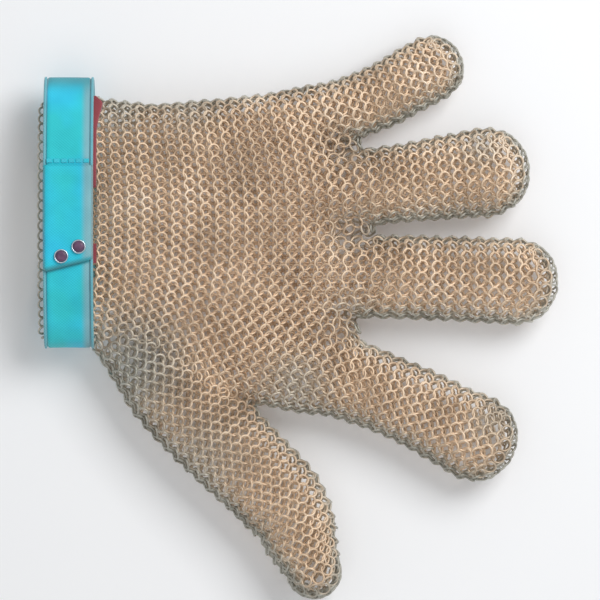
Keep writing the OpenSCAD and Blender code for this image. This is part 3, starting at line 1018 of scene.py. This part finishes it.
def stud_steel_material():
    material, tree, shader = new_material("stud_steel", roughness=0.3, metallic=1.0)
    color = ramp(tree, noise(tree, scale=500.0), (0.3, (0.45, 0.52, 0.60)), (0.7, (0.72, 0.80, 0.86)))
    tree.links.new(color, shader.inputs["Base Color"])
    bump(tree, shader, noise(tree, scale=4000.0), distance=0.00002)
    return material


# ---- Strap ----

def strap_point(turn, out):
    """Y and z at a turn round the strap, so far out from its outside."""
    return STRAP_SHIFT + (STRAP_A + out) * math.cos(turn), STRAP_Z + (STRAP_B + out) * math.sin(turn)


def wear(turn, x):
    """Two waves that make a worn loop uneven."""
    return math.sin(9 * turn + 0.15 * x) + 0.5 * math.sin(23 * turn)


def band_faces(size, rows, closed):
    """Quads between rows of points round a band's section, and over the ends of one that isn't closed."""
    faces = []
    for r in range(rows if closed else rows - 1):
        here, there = r * size, (r + 1) % rows * size
        for k in range(size):
            n = (k + 1) % size
            faces.append((here + k, here + n, there + n, there + k))
    if not closed:
        for end in (0, (rows - 1) * size):
            for k in range(size // 2 - 1):
                opposite = end + size - 1 - k
                faces.append((end + k, end + k + 1, opposite - 1, opposite))
    return faces


def band(name, span, layer, turns, closed=False, edge=0.5, wave=0.0, slant=None, widen=None):
    """A strip of fabric round the wrist with rounded edges.

    span holds where its two edges lie along x, and layer how far its two faces lie out from the strap's
    outside. slant moves a turn by its place along x, and widen gives each turn some more width.
    """
    across = np.linspace(0, 1, 15)
    profile = [(share, True) for share in across] + [(share, False) for share in across[::-1]]
    width, thick = span[1] - span[0], layer[1] - layer[0]
    points = []
    for turn in turns:
        extra = widen(turn) if widen else 0
        for share, outside in profile:
            x = span[0] + share * (width + extra)
            near_edge = min(share, 1 - share) * width
            drop = thick / 2 * max(0, 1 - near_edge / edge) ** 2
            out = layer[1] - drop if outside else layer[0] + drop
            out += wave * wear(turn, x)
            out -= TAPE_SINK * extra * share
            points.append((x, *strap_point(slant(turn, x) if slant else turn, out)))
    return mesh_object(name, points, band_faces(len(profile), len(turns), closed))


def tongue_turn(turn, x):
    """Stretches the tongue so that its end lies on a slant."""
    end_y = TONGUE_END_Y + (x - STRAP_START) * math.tan(TONGUE_SLANT)
    slant = math.acos((end_y - STRAP_SHIFT) / STRAP_A)
    return TONGUE_ROOT + (turn - TONGUE_ROOT) * (slant - TONGUE_ROOT) / (TONGUE_END - TONGUE_ROOT)


def tape_growth(turn):
    """How much further the red tape stands out towards the little finger side."""
    swell = smoothstep((turn - TAPE_FROM) / TAPE_SWELL)
    return TAPE_GROWTH * swell * (1 - smoothstep((turn - TAPE_FROM) / TAPE_FADE))


def riding_strap(obj, node, material):
    obj.data.materials.append(material)
    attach(obj, "hand")
    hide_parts(node)


def build_loop(webbing, rim):
    """The strap's loop, and the folded rims along its two edges."""
    circle = [2 * math.pi * k / LOOP_STEPS for k in range(LOOP_STEPS)]
    cover = RIM_W * RIM_COVER
    folded = (-STRAP_T - RIM_INSIDE, RIM_OUTSIDE)
    span = (STRAP_START + cover, STRAP_END - cover)
    loop = band("strap_webbing", span, (-STRAP_T, 0.0), circle, closed=True, wave=STRAP_WAVE)
    riding_strap(loop, "wrist_strap", webbing)
    edges = {"wrist": (STRAP_START, STRAP_START + RIM_W), "hand": (STRAP_END - RIM_W, STRAP_END)}
    for side, span in edges.items():
        binding = band(f"strap_binding_{side}", span, folded, circle, closed=True, wave=STRAP_WAVE)
        riding_strap(binding, f"strap_rim_{side}", rim)


def build_tongue(webbing):
    """The strap's overlapping end, which lies over the loop from its seam."""
    turns = list(np.linspace(TONGUE_ROOT, TONGUE_END, TONGUE_STEPS))
    span = (STRAP_START + TONGUE_SIDE_GAP, STRAP_END - TONGUE_SIDE_GAP)
    layer = (TONGUE_LIFT, TONGUE_LIFT + TONGUE_T)
    tongue = band("tongue_webbing", span, layer, turns, edge=0.9, slant=tongue_turn)
    tongue.data.materials.append(webbing)
    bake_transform(tongue)
    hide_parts("strap_tongue")


def build_tape(red):
    """The red tape inside the strap, which shows along its hand edge on the back."""
    turns = list(np.linspace(TAPE_FROM, TAPE_TO, TAPE_STEPS))
    span = (STRAP_END - TAPE_HIDDEN, STRAP_END + TAPE_SHOWN)
    layer = [-STRAP_T + depth for depth in TAPE_DEPTHS]
    tape = band("red_tape", span, layer, turns, edge=0.3, widen=tape_growth)
    riding_strap(tape, "red_edge_tape", red)


def build_strap():
    """The strap's pieces, and the materials of the CAD nodes that stay as they are."""
    webbing = weave_material("webbing", (0.008, 0.45, 0.66), (0.025, 0.69, 0.95), worn=True)
    rim = weave_material("webbing_rim", (0.08, 0.34, 0.42), (0.18, 0.50, 0.58))
    thread = weave_material("thread", (0.02, 0.42, 0.53), (0.05, 0.62, 0.75))
    red = weave_material("red_tape", (0.20, 0.025, 0.035), (0.34, 0.06, 0.075))
    cap = plastic_material("cap_plastic", (0.09, 0.04, 0.09), (0.17, 0.08, 0.15))
    steel = stud_steel_material()
    build_loop(webbing, rim)
    build_tongue(webbing)
    build_tape(red)
    finishes = {"strap_tacks": thread, "tongue_seam": thread, "stud_posts": steel, "stud_rims": steel,
                "stud_caps": cap, "red_end_tape": red}
    for node, material in finishes.items():
        mesh = frame["nodes"][node].data
        mesh.materials.clear()
        mesh.materials.append(material)


# ---- Floor, light and camera ----

def build_stage():
    """A sheet of white paper just under the part."""
    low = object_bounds()[0][2] / MM - FLOOR_GAP
    corners = [(x * FLOOR_HALF, y * FLOOR_HALF, low) for x, y in ((-1, -1), (1, -1), (1, 1), (-1, 1))]
    floor = mesh_object("floor", corners, [(0, 1, 2, 3)], smooth=False)
    material, tree, shader = new_material("floor_paper", roughness=0.9)
    color = ramp(tree, noise(tree, scale=3.0), (0.3, (0.90, 0.91, 0.93)), (0.7, (0.93, 0.94, 0.955)))
    tree.links.new(color, shader.inputs["Base Color"])
    floor.data.materials.append(material)


def area_light(name, place, target, size, power):
    """A square light that shines from a place towards a target, all in metres."""
    light = bpy.data.lights.new(name, "AREA")
    light.size = size
    light.energy = power
    obj = bpy.data.objects.new(name, light)
    obj.location = place
    direction = np.array(target) - np.array(place)
    obj.rotation_euler = Vector(direction).to_track_quat("-Z", "Y").to_euler()
    bpy.context.scene.collection.objects.link(obj)


def build_light():
    middle = (0.1, -0.03, 0)
    area_light("key_light", place=(0.6, 0.42, 0.85), target=middle, size=0.6, power=7.4)
    area_light("fill_light", place=(0.1, -0.5, 1.2), target=middle, size=1.0, power=2)
    world = bpy.data.worlds.new("studio")
    world.use_nodes = True
    background = world.node_tree.nodes["Background"]
    background.inputs["Color"].default_value = (1, 1, 1, 1)
    background.inputs["Strength"].default_value = 0.46
    bpy.context.scene.world = world
    bpy.context.scene.view_settings.view_transform = "Standard"


def build_camera():
    """Straight over the hand, and far off."""
    camera = bpy.data.cameras.new("camera")
    camera.sensor_width = 36
    camera.lens = 400
    distance = VIEW_WIDTH * camera.lens / camera.sensor_width
    obj = bpy.data.objects.new("camera", camera)
    obj.location = (VIEW_X * MM, VIEW_Y * MM, (VIEW_Z + distance) * MM)
    bpy.context.scene.collection.objects.link(obj)
    bpy.context.scene.camera = obj


build_camera()
build_mail(steel_material())
build_strap()
build_stage()
build_light()
